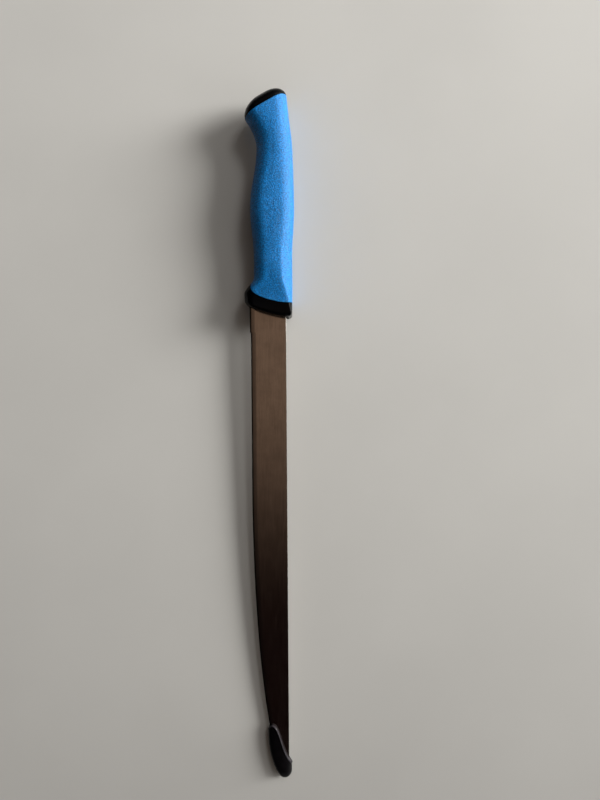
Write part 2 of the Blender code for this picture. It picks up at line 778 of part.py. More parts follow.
def world_mesh(thing, depsgraph):
    """Vertices (in the parent's frame) and triangles of an object with its modifiers."""
    evaluated = thing.evaluated_get(depsgraph)
    data = evaluated.to_mesh()
    data.calc_loop_triangles()
    points = np.array([thing.matrix_local @ v.co for v in data.vertices])
    triangles = np.array([t.vertices[:] for t in data.loop_triangles])
    evaluated.to_mesh_clear()
    return points, triangles


def balance_point(meshes):
    """Centre of mass of the knife along x."""
    mass = moment = 0.0
    for name, (points, triangles) in meshes.items():
        a, b, c = (points[triangles[:, k]] for k in range(3))
        volumes = np.einsum("ij,ij->i", a, np.cross(b, c)) / 6
        mass += DENSITY[name] * volumes.sum()
        moment += DENSITY[name] * (volumes * (a + b + c)[:, 0] / 4).sum()
    return moment / mass


def lay_on_side(knife, pieces):
    """Turns the knife until it lies on collar and tip guard, and centres its footprint."""
    bpy.context.view_layer.update()
    depsgraph = bpy.context.evaluated_depsgraph_get()
    meshes = {piece.name: world_mesh(piece, depsgraph) for piece in pieces}
    points = np.concatenate([m[0] for m in meshes.values()])
    balance = balance_point(meshes)
    behind = points[points[:, 0] < balance]
    ahead = points[points[:, 0] >= balance]
    tilt = 0.0
    for _ in range(8):
        lows = [group[np.argmin(lowered(group, tilt))] for group in (behind, ahead)]
        tilt = math.atan2(lows[1][2] - lows[0][2], lows[1][0] - lows[0][0])
    turn = Matrix.Rotation(tilt, 4, "Y")
    placed = points @ np.array(turn.to_3x3()).T
    low, high = placed.min(axis=0), placed.max(axis=0)
    shift = Vector((-(low[0] + high[0]) / 2, -(low[1] + high[1]) / 2, -low[2]))
    knife.matrix_world = Matrix.Translation(shift) @ turn


def lowered(points, tilt):
    """Height of points once the knife is turned by tilt."""
    return points[:, 2] * math.cos(tilt) - points[:, 0] * math.sin(tilt)


def main():
    for thing in list(bpy.data.objects):
        bpy.data.objects.remove(thing, do_unlink=True)
    knife = bpy.data.objects.new("knife", None)
    bpy.context.scene.collection.objects.link(knife)
    pieces = [blade_piece(knife), core_piece(knife), grip_piece(knife), guard_piece(knife)]
    lay_on_side(knife, pieces)


main()
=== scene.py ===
"""Looks of the slicing knife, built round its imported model.

The four pieces are drawn again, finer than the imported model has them, from the same measures.
They are drawn in the knife's own frame: +X along the spine towards the tip, +Y from the edge
towards the spine, y = 0 on the spine, z = 0 on the blade's middle plane, and x = 0 where the
blade leaves the collar. All lengths are in metres.
"""

import json
import math

import bpy
import numpy as np
from mathutils import Matrix, Vector


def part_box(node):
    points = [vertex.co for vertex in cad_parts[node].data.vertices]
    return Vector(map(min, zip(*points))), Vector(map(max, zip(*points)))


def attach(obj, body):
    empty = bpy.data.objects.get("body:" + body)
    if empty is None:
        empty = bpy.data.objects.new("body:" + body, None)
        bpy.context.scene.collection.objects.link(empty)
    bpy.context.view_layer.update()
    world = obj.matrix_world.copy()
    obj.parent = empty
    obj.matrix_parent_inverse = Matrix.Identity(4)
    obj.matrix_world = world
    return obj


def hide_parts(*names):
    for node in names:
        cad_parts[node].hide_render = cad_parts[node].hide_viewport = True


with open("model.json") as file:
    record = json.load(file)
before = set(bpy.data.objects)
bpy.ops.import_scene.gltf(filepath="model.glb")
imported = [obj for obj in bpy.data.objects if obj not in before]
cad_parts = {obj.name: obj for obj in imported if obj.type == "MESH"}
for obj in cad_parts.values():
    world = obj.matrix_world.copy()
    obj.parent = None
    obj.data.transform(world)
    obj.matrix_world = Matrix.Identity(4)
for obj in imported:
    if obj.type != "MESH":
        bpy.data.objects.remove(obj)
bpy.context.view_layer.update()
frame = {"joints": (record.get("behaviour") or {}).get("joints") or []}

# Blade
BLADE_LENGTH = 0.3
BLADE_WIDTH = 0.0226
SPINE_THICKNESS = 0.002
TIP_THICKNESS = 0.0012
TAPER_LENGTH = 0.12
SPINE_ROUNDING = 0.0001
SHOULDER_THICKNESS = 0.0009
SHOULDER_OFFSET = 0.0032
BEVEL_OFFSET = 0.0007
BEVEL_THICKNESS = 0.0004
EDGE_THICKNESS = 0.0001
HEEL_LENGTH = 0.012
HEEL_STEP = 0.0006
HEEL_RAMP = 0.0008
BELLY_LENGTH = 0.19
BELLY_REACH = 0.112
TIP_ROUNDING = 0.0103
TIP_BLUNTNESS = 0.0006
CREASE_HALF = 0.00005   # half width of the softened crease between two ground faces

# Tang
TANG_LENGTH = 0.1
TANG_WIDTH = 0.013
TANG_END_WIDTH = 0.008
TANG_DROP = 0.0085
TANG_END_DROP = 0.0072
SHOULDER_DEPTH = 0.009
SHOULDER_STEP = 0.0002
SHOULDER_FILLET = 0.003
GRIND_START_DEPTH = 0.005
GRIND_RUNOUT = 0.003
TANG_HOLE_DIAMETER = 0.005
TANG_HOLE_PLACES = (0.028, 0.055, 0.082)

# Handle: distances between stations, from the collar's front to the butt cap
STATION_STEPS = (0.0, 0.012, 0.0108, 0.0132, 0.03, 0.038, 0.0186)
BELLY_DEPTHS = (0.0252, 0.0266, 0.0203, 0.0203, 0.0225, 0.0181, 0.0251)
BELLY_END_SLOPE = 0.7
BACK_HEIGHTS = (0.0039, 0.0042, 0.0042, 0.0042, 0.0056, 0.0047, 0.0027)
HALF_THICKNESSES = (0.0098, 0.0098, None, 0.0092, 0.0103, 0.0095, 0.0098)
BACK_ROUNDS = (0.0008, 0.0040, 0.0064, None, 0.0073, None, 0.0078)
BELLY_ROUNDS = (0.0048, None, 0.0096, None, 0.0097, None, 0.0108)
BACK_CREASES = (0.3, None, 0.7, None, 0.15, None, 0.15)
PANEL_FALLS = (0.0, 0.0026, 0.0010, 0.0, 0.0, 0.0, 0.0)   # towards the belly
PANEL_CROWN = 0.0002
CORNER_FALL = 2.25

# Collar, grip and cap
FRONT_SLANT = 0.275
FRONT_REACH = 0.0006
FRONT_FILLET = 0.002
FRONT_CORNER = 0.0022
FRONT_CORNER_POWER = 3.0
COLLAR_BACK_BAND = 0.0083
COLLAR_BELLY_BAND = 0.0148
COLLAR_SWEEP = 6.5
SWEEP_FADE = 8
CAP_SLANT = math.radians(29.2)
CAP_LEAN = math.radians(11.0)      # the dome leans towards the spine by this much
CAP_HEIGHT = 0.0083
CAP_SQUARENESS = 2.1
GRIP_WALL = 0.0028
CORE_CLEARANCE = 0.0003
SKIN_INSET = 0.00001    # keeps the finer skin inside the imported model's
SEAM_FRONT = 0.00009    # the hard shot's rim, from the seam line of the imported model
SEAM_BACK = 0.00021     # the grip's rim, from the same line
RIM_RADIUS = 0.0002     # rounding of both rims
DOME_INSET = 0.00004    # keeps the butt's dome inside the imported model's

# Tip guard
GUARD_FIT = 0.0003
SLOT_FIT = 0.00014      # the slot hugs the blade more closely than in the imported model
GUARD_NOSE_RADIUS = 0.0051
GUARD_BACK_WALL = 0.0015
GUARD_END_WALL = 0.0014
GUARD_BELLY_WALL = 0.0003
GUARD_BELLY_REACH = 0.0185
GUARD_BELLY_SWELL = 0.0018
GUARD_NOSE_TURN = 0.0046
GUARD_HALF = 0.002895   # 5 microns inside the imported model's
GUARD_MOUTH_HALF = 0.0024
GUARD_LENGTH = 0.0348
GUARD_MOUTH_LENGTH = 0.0242
GUARD_MOUTH_DROP = 0.011
GUARD_MOUTH_WAIST = 0.0053
GUARD_MOUTH_BEND = 0.0165
GUARD_CORNER_FALL = 0.0016     # how far the mouth falls back at the guard's edge side
GUARD_CORNER_WIDTH = 0.0026    # over this width beyond the slant's end
GUARD_SQUARENESS = 2.3
LIP_HEIGHT = 0.000345
LIP_WIDTH = 0.0007

# Camera
CAMERA_OVER = (0.0557, 0.00858)     # point of the knife's frame that it looks down on
CAMERA_HEIGHT = 0.3944
CAMERA_ROLL = math.atan(0.00658)
SENSOR_WIDTH = 36.0     # in millimetres, as the lens
LENS = 27.0

# Fineness of the meshes
SOLVE_STEPS = 34            # halvings that find a ring's point
SHARP_ANGLE = math.radians(50)
EDGE_STEPS = 90
OUTLINE_STEPS = 120
GRIND_STEPS = 6
BEVEL_STEPS = 3
HEEL_RINGS = 6              # before the heel's step, and again down it
STRAIGHT_RINGS = 20
ZONE_POINTS = (4, 19, 15, 23, 3)    # round half of the handle, zone by zone
RING_CROWDING = 1.2         # crowds the grip's rings towards the collar
SPINE_SHARE = 0.01          # share of the tang's width that keeps the spine's rounding
SLOT_LEAD = 0.6             # how far the slot starts ahead of the guard, in guard lengths
HANDLE_REACH = (-0.2, 0.012)        # x between which the handle's rings are looked for

# Colours, linear
STEEL = (0.40, 0.36, 0.33)
BLACK = (0.0003, 0.0003, 0.0006)
BLUE = (0.0004, 0.162, 0.46)
GUARD_BLACK = (0.0012, 0.0008, 0.0014)
# Painted highlight: a paler colour along the tip guard's lip, in place of the light that its
# rounding catches
PAINTED_LIP_HIGHLIGHT = (0.024, 0.021, 0.026, 1.0)
TABLE = (0.50, 0.495, 0.473)
DAYLIGHT = (1.0, 0.985, 0.965)
HIGH_DAYLIGHT = (1.0, 0.99, 0.98)
CEILING = (0.273, 0.185, 0.129, 1.0)
CEILING_AT_TIP = (0.006, 0.001, 0.001, 1.0)
WINDOW_WALL = (0.46, 0.455, 0.44, 1.0)
END_WALLS = (0.42, 0.416, 0.405, 1.0)
LOW_WALLS = (0.08, 0.077, 0.073, 1.0)
EDGE_SIDE_WALL = (0.008, 0.007, 0.007, 1.0)

# Surfaces and surroundings
NOISE_SPREAD = (0.3, 0.7)           # most values of a noise lie between these
WIDE_SPREAD = (0.25, 0.75)
NARROW_SPREAD = (0.38, 0.62)
FINE_GRAIN = 3.1            # times as fine as the coarser grain of the moulds
FINE_GRAIN_SHARE = 0.45     # height of the finer grain over the coarser
GRIND_STREAKS = (14.0, 2600.0, 2600.0)      # per metre, along, across and through the blade
GRIND_HAIRS = (60.0, 7000.0, 7000.0)
PAINTED_EDGE_SHADE = (0.0006, 0.0011, 0.1, 1.0)      # distances from the edge, and the painted shade at each: a dark line along the cutting edge
# Painted shade too: a dimmer band over the edge's bevel, which eases into the dark line
PAINTED_BEVEL_SHADE = (0.0007, 0.0038, 0.74, 1.0)
FLOOR_SIZE = 5.0
FLOOR_STEPS = 20
FLOOR_RETURN = 0.6          # share of its light that the table top throws back on the knife

# Room: where it changes, as parts of a direction from -1 to 1
TIP_FADE = (-0.02, 0.36)    # the ceiling darkens towards the tip
WINDOW_RISE = (0.22, 0.45)  # the window's wall begins
WINDOW_FADE = (0.1, 0.5)    # and fades towards the tip
BUTT_WALL = (-0.36, -0.62)
TIP_WALL = (0.66, 0.85)
CEILING_RIM = (0.62, 0.35)  # the ceiling gives way to the walls
EDGE_SIDE = (-0.16, -0.42)


# Knife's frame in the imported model


def knife_placement():
    """Matrix from the knife's frame to the row frame, from the blade's box and the slide's axis."""
    axis = Vector(frame["joints"][0]["axis"])
    low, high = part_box("blade")
    along, drop = axis.x, -axis.z
    half_tip = TIP_THICKNESS / 2
    x = high.x - BLADE_LENGTH * along - half_tip * drop
    z = low.z + BLADE_LENGTH * drop + half_tip * along
    return Matrix((
        (along, 0.0, drop, x),
        (0.0, 1.0, 0.0, high.y),
        (-drop, 0.0, along, z),
        (0.0, 0.0, 0.0, 1.0),
    ))


PLACEMENT = knife_placement()


def placed(points):
    """Points of the knife's frame in the row frame."""
    matrix = np.array(PLACEMENT)
    return np.asarray(points, float) @ matrix[:3, :3].T + matrix[:3, 3]


# Curves


def smooth_curve(values, end_slope=0.0):
    """A smooth function through the values at the handle's stations that never overshoots them."""
    places = np.cumsum(STATION_STEPS)
    kept = [i for i, value in enumerate(values) if value is not None]
    at = places[kept]
    value = np.array([values[i] for i in kept])
    secants = np.diff(value) / np.diff(at)
    slopes = [secants[0]]
    for before, after in zip(secants, secants[1:]):
        slopes.append(2 * before * after / (before + after) if before * after > 0 else 0.0)
    slopes.append(end_slope)
    slopes = np.array(slopes)

    def curve(position):
        position = np.asarray(position, float)
        i = np.clip(np.searchsorted(at, position, side="right") - 1, 0, len(at) - 2)
        span = at[i + 1] - at[i]
        t = np.clip((position - at[i]) / span, 0.0, 1.0)
        inside = (
            value[i]
            + (value[i + 1] - value[i]) * t * t * (3 - 2 * t)
            + span * t * (1 - t) * (slopes[i] * (1 - t) - slopes[i + 1] * t)
        )
        before = np.minimum(position - at[0], 0.0) * slopes[0]
        after = np.maximum(position - at[-1], 0.0) * slopes[-1]
        return inside + before + after

    return curve


def bezier(handles, t):
    """Points of a cubic Bezier curve at the shares t."""
    a, b, c, d = (np.array(h)[None, :] for h in handles)
    t = np.asarray(t)[:, None]
    s = 1 - t
    return s**3 * a + 3 * s * s * t * b + 3 * s * t * t * c + t**3 * d


def crowded(steps):
    """Shares from 0 to 1 that crowd towards 1."""
    return np.sin(0.5 * math.pi * np.arange(steps + 1) / steps)


BACK_END_SLOPE = (BACK_HEIGHTS[-1] - BACK_HEIGHTS[-2]) / STATION_STEPS[-1]
BELLY = smooth_curve(BELLY_DEPTHS, end_slope=BELLY_END_SLOPE)
BACK = smooth_curve(BACK_HEIGHTS, end_slope=BACK_END_SLOPE)
HALF = smooth_curve(HALF_THICKNESSES)
BACK_ROUND = smooth_curve(BACK_ROUNDS)
BELLY_ROUND = smooth_curve(BELLY_ROUNDS)
BACK_CREASE = smooth_curve(BACK_CREASES)
PANEL_FALL = smooth_curve(PANEL_FALLS)


# Meshes from rings


def ring_mesh(rings, start=None, end=None, closed=False):
    """(points, faces) over rings of equally many points; an end is None, "strips" or an apex."""
    count = len(rings[0])
    points = [np.asarray(ring, float) for ring in rings]
    faces = []
    pairs = list(zip(range(len(rings)), range(1, len(rings))))
    if closed:
        pairs.append((len(rings) - 1, 0))
    for a, b in pairs:
        for i in range(count):
            j = (i + 1) % count
            faces.append((a * count + i, a * count + j, b * count + j, b * count + i))
    for base, kind in ((0, start), ((len(rings) - 1) * count, end)):
        if kind is None:
            continue
        if isinstance(kind, str):
            half = count // 2
            for i in range(half):
                corners = [base + i, base + i + 1, base + (count - i - 1) % count]
                corners.append(base + (count - i) % count)
                faces.append(tuple(dict.fromkeys(corners)))
            continue
        apex = sum(len(p) for p in points)
        points.append(np.array([kind], float))
        for i in range(count):
            faces.append((base + i, base + (i + 1) % count, apex))
    return np.concatenate(points), faces


def full_ring(upper):
    """A whole ring from its upper half, whose two ends lie on the middle plane."""
    upper = np.asarray(upper, float)
    lower = upper[-2:0:-1] * (1.0, 1.0, -1.0)
    return np.concatenate([upper, lower])


def add_mesh(name, points, faces):
    """An object with outward normals and smooth faces, its mesh in the row frame."""
    data = bpy.data.meshes.new(name)
    data.from_pydata([tuple(p) for p in placed(points)], [], faces)
    data.update()
    thing = bpy.data.objects.new(name, data)
    bpy.context.scene.collection.objects.link(thing)
    if signed_volume(data) < 0:
        data.flip_normals()
    data.shade_smooth()
    return thing


def signed_volume(data):
    """Six times the volume that a closed mesh encloses, below zero where its faces point in."""
    data.calc_loop_triangles()
    corners = np.array([[data.vertices[i].co[:] for i in t.vertices] for t in data.loop_triangles])
    return float(np.einsum("ij,ij->i", corners[:, 0], np.cross(corners[:, 1], corners[:, 2])).sum())


def cut_with(thing, cutters):
    """Takes the cutters out of a piece and removes them."""
    for cutter in cutters:
        modifier = thing.modifiers.new(cutter.name, "BOOLEAN")
        modifier.operation = "DIFFERENCE"
        modifier.solver = "EXACT"
        modifier.object = cutter
    bpy.context.view_layer.update()
    evaluated = thing.evaluated_get(bpy.context.evaluated_depsgraph_get())
    data = bpy.data.meshes.new_from_object(evaluated)
    data.name = thing.name
    thing.modifiers.clear()
    thing.data = data
    for cutter in cutters:
        bpy.data.objects.remove(cutter, do_unlink=True)


# Blade and tang


EDGE_OUTLINE = bezier(
    (
        (BLADE_LENGTH - BELLY_LENGTH, BLADE_WIDTH),
        (BLADE_LENGTH - BELLY_LENGTH + BELLY_REACH, BLADE_WIDTH),
        (BLADE_LENGTH, TIP_BLUNTNESS + TIP_ROUNDING),
        (BLADE_LENGTH, TIP_BLUNTNESS),
    ),
    crowded(EDGE_STEPS),
)


def mark(thing, name, value_at):
    """Stores a value per vertex, which depends on its place in the knife's own frame."""
    back = PLACEMENT.inverted()
    values = [value_at(*(back @ vertex.co)) for vertex in thing.data.vertices]
    thing.data.attributes.new(name, "FLOAT", "POINT").data.foreach_set("value", values)


def spine_thickness(x):
    """Full thickness of the spine, thinner over the last stretch."""
    taper = max(0.0, (x - (BLADE_LENGTH - TAPER_LENGTH)) / TAPER_LENGTH)
    return SPINE_THICKNESS + (TIP_THICKNESS - SPINE_THICKNESS) * taper


def band(offset, width):
    """A band along the edge, which narrows smoothly where the blade does."""
    return offset * (1 - math.exp(-width / (2 * offset)))


def spine_arc(half, rounding, steps=6):
    """Upper half of the spine, from the middle plane over its rounded corner."""
    angles = 0.5 * math.pi * (1 - np.arange(steps + 1) / steps)
    arc = [(rounding * (math.sin(a) - 1), half - rounding * (1 - math.cos(a))) for a in angles]
    return [(0.0, 0.0)] + arc


def spread(first, second, steps):
    """Points strictly between two points."""
    return [
        tuple(a + (b - a) * i / steps for a, b in zip(first, second)) for i in range(1, steps)
    ]


def softened(before, corner, after):
    """Three points in place of a crease, so that it catches the light as a narrow rounding."""
    return [moved_towards(corner, before), corner, moved_towards(corner, after)]


def moved_towards(point, other):
    """A point a crease's half width from another, or less where that is close."""
    gap = math.dist(point, other)
    share = min(CREASE_HALF, gap / 4) / gap
    return tuple(a + (b - a) * share for a, b in zip(point, other))


def blade_upper(x, width, grow=0.0):
    """Upper half of the ground blade's section, from the spine to the edge."""
    half = spine_thickness(x) / 2
    grind_slope = (SPINE_THICKNESS - SHOULDER_THICKNESS) / 2 / (BLADE_WIDTH - SHOULDER_OFFSET)
    shoulder_at = width - band(SHOULDER_OFFSET, width)
    bevel_at = width - band(BEVEL_OFFSET, width)
    edge_half = EDGE_THICKNESS / 2
    shoulder_half = half - grind_slope * shoulder_at
    bevel_share = (BEVEL_THICKNESS - EDGE_THICKNESS) / (SHOULDER_THICKNESS - EDGE_THICKNESS)
    bevel_half = edge_half + (shoulder_half - edge_half) * bevel_share
    rounding = min(SPINE_ROUNDING, shoulder_at / 4 + EDGE_THICKNESS / 8)
    spine = [(y + grow, z + grow if z else 0.0) for y, z in spine_arc(half, rounding)]
    shoulder = (-shoulder_at, shoulder_half + grow)
    bevel = (-bevel_at, bevel_half + grow)
    edge = (-width - grow, edge_half + grow)
    rows = spine
    rows += spread(spine[-1], shoulder, GRIND_STEPS)
    rows += softened(spine[-1], shoulder, bevel)
    rows += spread(shoulder, bevel, BEVEL_STEPS)
    rows += softened(shoulder, bevel, edge)
    rows += [edge, (-width - grow, 0.0)]
    return [(x, y, z) for y, z in rows]


def tang_upper(x, top, bottom):
    """Upper half of the unground tang's section between two heights."""
    half = SPINE_THICKNESS / 2
    heel = blade_upper(0.0, heel_width())
    rows = []
    for _, y, z in heel:
        share = min(1.0, -y / heel_width())
        height = half if z > 0 and share > SPINE_SHARE else min(z, half)
        rows.append((x, top + (bottom - top) * share, height))
    return rows


def heel_width():
    """Width of the blade at its heel, before the small step."""
    return BLADE_WIDTH + HEEL_STEP


def tang_edge(x, side):
    """Height of the tang's upper (+1) or lower (-1) side at x, behind the blade's shoulders."""
    along = (-SHOULDER_DEPTH - x) / (TANG_LENGTH - SHOULDER_DEPTH)
    centre = -TANG_DROP + (TANG_DROP - TANG_END_DROP) * along
    half = (TANG_WIDTH + (TANG_END_WIDTH - TANG_WIDTH) * along) / 2
    return centre + side * half


def tang_rings(steps=6):
    """(x, top, bottom) of the tang from its rounded end to the blade's shoulders."""
    radius = TANG_END_WIDTH / 2
    rings = []
    for i in range(1, steps + 1):
        angle = 0.5 * math.pi * i / steps
        x = -TANG_LENGTH + radius * (1 - math.cos(angle))
        centre = (tang_edge(x, 1) + tang_edge(x, -1)) / 2
        half = (tang_edge(x, 1) - centre) * math.sin(angle)
        rings.append((x, centre + half, centre - half))
    for i in range(steps + 1):
        angle = 0.5 * math.pi * i / steps
        x = -SHOULDER_DEPTH - SHOULDER_FILLET * (1 - math.sin(angle))
        rise = SHOULDER_FILLET * (1 - math.cos(angle))
        top = min(tang_edge(x, 1) + rise, 0.0)
        bottom = max(tang_edge(x, -1) - rise, -heel_width())
        rings.append((x, top, bottom))
    return rings


def blade_widths():
    """(x, width) of the ground blade, from inside the collar to the tip."""
    behind_step = np.linspace(-GRIND_START_DEPTH, HEEL_LENGTH, HEEL_RINGS)
    widths = [(x, heel_width()) for x in behind_step]
    for i in range(1, HEEL_RINGS + 1):
        ease = 0.5 - 0.5 * math.cos(math.pi * i / HEEL_RINGS)
        widths.append((HEEL_LENGTH + HEEL_RAMP * i / HEEL_RINGS, heel_width() - HEEL_STEP * ease))
    straight = np.linspace(HEEL_LENGTH + HEEL_RAMP, EDGE_OUTLINE[0][0], STRAIGHT_RINGS)
    widths += [(x, BLADE_WIDTH) for x in straight[1:-1]]
    return widths + [tuple(p) for p in EDGE_OUTLINE]


def add_blade():
    """The whole steel part: tang with locking holes, ground blade, curved edge and tip."""
    rings = [tang_upper(*ring) for ring in tang_rings()]
    rings.append(tang_upper(-SHOULDER_DEPTH + SHOULDER_STEP, 0.0, -heel_width()))
    rings.append(tang_upper(-GRIND_START_DEPTH - GRIND_RUNOUT, 0.0, -heel_width()))
    rings += [blade_upper(x, width) for x, width in blade_widths()]
    rings = [full_ring(upper) for upper in rings]
    blade = add_mesh("blade_steel", *ring_mesh(rings, "strips", "strips"))
    cutters = []
    for place in TANG_HOLE_PLACES:
        centre = (tang_edge(-place, 1) + tang_edge(-place, -1)) / 2
        cutters.append(add_drill(-place, centre, TANG_HOLE_DIAMETER / 2, SPINE_THICKNESS))
    cut_with(blade, cutters)
    widths = np.array(blade_widths())
    mark(blade, "edge_distance", lambda x, y, z: y + np.interp(x, widths[:, 0], widths[:, 1]))
    blade.data.set_sharp_from_angle(angle=SHARP_ANGLE)
    return blade


def add_drill(x, y, radius, reach, segments=32):
    """An upright cylinder for a hole."""
    angles = 2 * math.pi * np.arange(segments) / segments
    rings = []
    for z in (-reach, reach):
        rings.append([(x + radius * math.cos(a), y + radius * math.sin(a), z) for a in angles])
    points, faces = ring_mesh(rings)
    faces += [tuple(range(segments)), tuple(range(segments, 2 * segments))[::-1]]
    return add_mesh("drill", points, faces)


# Handle surface


def corner(across, half, share, crease):
    """(inward across the panel, height) a share of the way up a corner of the section."""
    down = half * (1 - np.exp(-CORNER_FALL * across / half))
    angle = share * math.pi / 2
    inward = (1 - np.cos(angle)) * (1 - crease) + share * crease
    drop = (1 - np.sin(angle)) * (1 - crease) + (1 - share) * crease
    return across * inward, half - down * drop


def handle_section(x, place, inset):
    """(y, z) of the handle's section at x.

    A place runs from 0 at the back on the middle plane to 5 at the belly: the back's wall,
    its rounding, the side panel, the belly's rounding and its wall.
    """
    behind = -x
    inset = inset + SKIN_INSET
    half = HALF(behind) - inset
    back = BACK(behind) - inset
    belly = -BELLY(behind) + inset
    shrink = half / (half + inset)
    back_round = BACK_ROUND(behind) * shrink
    belly_round = BELLY_ROUND(behind) * shrink
    share = place - np.floor(np.minimum(place, 4.0))
    fall = PANEL_FALL(behind)
    back_in, back_z = corner(back_round, half, share, BACK_CREASE(behind))
    foot_in, foot_z = corner(back_round, half, 0.0, BACK_CREASE(behind))
    belly_in, belly_z = corner(belly_round, half - fall, 1 - share, 0.0)
    heel_in, heel_z = corner(belly_round, half - fall, 0.0, 0.0)
    panel_y = back - back_round + (belly + belly_round - back + back_round) * share
    panel_z = half - fall * share + PANEL_CROWN * 4 * share * (1 - share)
    zones = [place < 1, place < 2, place < 3, place < 4, place <= 5]
    y = [back - foot_in, back - back_in, panel_y, belly + belly_in, belly + heel_in]
    z = [foot_z * share, back_z, panel_z, belly_z, heel_z * (1 - share)]
    return np.select(zones, y), np.select(zones, z)


PLACES = np.unique(np.concatenate([
    np.linspace(zone, zone + 1, count) for zone, count in enumerate(ZONE_POINTS)
]))


def solved_ring(sheet, section, low, high, count):
    """(x, y, z) where a section, swept along x, crosses the upright sheet x = sheet(x, y)."""
    low = np.full(count, low)
    high = np.full(count, high)
    for _ in range(SOLVE_STEPS):
        middle = (low + high) / 2
        before = middle < sheet(middle, section(middle)[0])
        low = np.where(before, middle, low)
        high = np.where(before, high, middle)
    x = (low + high) / 2
    y, z = section(x)
    return np.stack([x, y, z], axis=1)


def handle_ring(sheet, inset=0.0, smoothing=3):
    """A ring of the handle, with the joints between panels and roundings eased."""
    low, high = HANDLE_REACH
    upper = solved_ring(sheet, lambda x: handle_section(x, PLACES, inset), low, high, len(PLACES))
    upper[0, 2] = upper[-1, 2] = 0.0
    ring = full_ring(upper)
    for _ in range(smoothing):
        ring = (np.roll(ring, 1, axis=0) + 2 * ring + np.roll(ring, -1, axis=0)) / 4
    return ring


def share_across(x, y):
    """0 on the back line and 1 on the belly line of the handle."""
    back = BACK(-x)
    return np.clip((back - y) / (back + BELLY(-x)), 0.0, 1.0)


def front_sheet(x, y):
    """The collar's slanted front, which falls back towards its two ends."""
    off_centre = np.abs(2 * share_across(x, y) - 1)
    straight = FRONT_SLANT * (y + BLADE_WIDTH / 2) + FRONT_REACH
    return straight - FRONT_CORNER * off_centre**FRONT_CORNER_POWER


def collar_sheet(x, y, gap=0.0):
    """The collar's rear line, which sweeps back along the belly, or a line a gap behind it."""
    sweep = (COLLAR_BELLY_BAND - COLLAR_BACK_BAND) * share_across(x, y) ** COLLAR_SWEEP
    slope = sweep * COLLAR_SWEEP / (BACK(-x) + BELLY(-x)) + FRONT_SLANT
    return front_sheet(x, y) - COLLAR_BACK_BAND - sweep - gap * np.hypot(1.0, slope)


def cap_sheet(x, y, gap=0.0):
    """The slanted plane between the grip and the butt cap, or a plane a gap in front of it."""
    back = sum(STATION_STEPS) + math.tan(CAP_SLANT) * (y + BELLY_DEPTHS[-1])
    return gap / math.cos(CAP_SLANT) - back


def sheet_between(share, gap=0.0):
    """A sheet part of the way from the collar's rear line (0) to the cap's plane (1)."""

    def sheet(x, y):
        straight = front_sheet(x, y) - COLLAR_BACK_BAND
        swept = collar_sheet(x, y, gap)
        near = straight + (swept - straight) * (1 - share) ** SWEEP_FADE
        return near * (1 - share) + cap_sheet(x, y, gap) * share

    return sheet


def rim_steps(steps=5):
    """(inset, setback) down a rounded rim, from outside in."""
    angles = 0.5 * math.pi * np.arange(steps + 1) / steps
    return [(RIM_RADIUS * (1 - math.cos(a)), RIM_RADIUS * (1 - math.sin(a))) for a in angles]


# Handle pieces


def add_grip(outer=190, inner=14):
    """The soft sleeve: outer skin, rounded rims and inner skin."""
    rings = []
    for inset, setback in reversed(rim_steps()):
        rings.append(handle_ring(sheet_between(0.0, SEAM_BACK + setback), inset))
    for share in (np.arange(1, outer) / outer) ** RING_CROWDING:
        rings.append(handle_ring(sheet_between(share, SEAM_BACK + RIM_RADIUS)))
    for inset, setback in rim_steps():
        rings.append(handle_ring(sheet_between(1.0, SEAM_BACK + setback), inset))
    for share in np.linspace(1.0, 0.0, inner):
        rings.append(handle_ring(sheet_between(share, SEAM_BACK), GRIP_WALL))
    return add_mesh("grip_sleeve", *ring_mesh(rings, closed=True))


def add_core(collar=22, neck=14, fillet=9, dome=44):
    """The hard first shot: collar, inner core under the grip and butt cap."""
    rings = []
    for i in range(fillet + 1):
        angle = 0.5 * math.pi * (1 - i / fillet)
        inset = FRONT_FILLET * (1 - math.cos(angle))
        setback = FRONT_FILLET * (1 - math.sin(angle))
        rings.append(handle_ring(lambda x, y: front_sheet(x, y) - setback, inset))
    for i in range(1, collar):
        rings.append(handle_ring(collar_ring_sheet(i / collar)))
    for inset, setback in rim_steps():
        rings.append(handle_ring(lambda x, y: collar_sheet(x, y, SEAM_FRONT - setback), inset))
    for share in np.linspace(0.0, 1.0, neck):
        rings.append(handle_ring(sheet_between(share, SEAM_FRONT), GRIP_WALL + CORE_CLEARANCE))
    for inset, setback in reversed(rim_steps()):
        rings.append(handle_ring(lambda x, y: cap_sheet(x, y, SEAM_FRONT - setback), inset))
    rim = rings[-1]
    centre = (rim.max(axis=0) + rim.min(axis=0)) / 2
    height = CAP_HEIGHT - RIM_RADIUS + SEAM_FRONT - DOME_INSET
    lean = CAP_SLANT - CAP_LEAN
    outward = np.array([-math.cos(lean), -math.sin(lean), 0.0])
    for i in range(1, dome):
        reach = math.cos(0.5 * math.pi * i / dome)
        rise = height * (1 - reach**CAP_SQUARENESS) ** (1 / CAP_SQUARENESS)
        rings.append(centre + (rim - centre) * reach + outward * rise)
    return add_mesh("handle_core_shot", *ring_mesh(rings, "strips", centre + outward * height))


def collar_ring_sheet(share):
    """A sheet across the collar, from behind its rounded front (0) to its rear rim (1)."""

    def sheet(x, y):
        front = front_sheet(x, y) - FRONT_FILLET
        return front * (1 - share) + collar_sheet(x, y, SEAM_FRONT - RIM_RADIUS) * share

    return sheet


# Tip guard


def guard_start():
    """Where the guard's edge side begins."""
    return BLADE_LENGTH + GUARD_FIT + GUARD_END_WALL - GUARD_LENGTH


def guard_nose():
    """Centre of the guard's round nose, on the middle plane."""
    x = BLADE_LENGTH + GUARD_FIT + GUARD_END_WALL - GUARD_NOSE_RADIUS
    return x, GUARD_FIT + GUARD_BACK_WALL - GUARD_NOSE_RADIUS


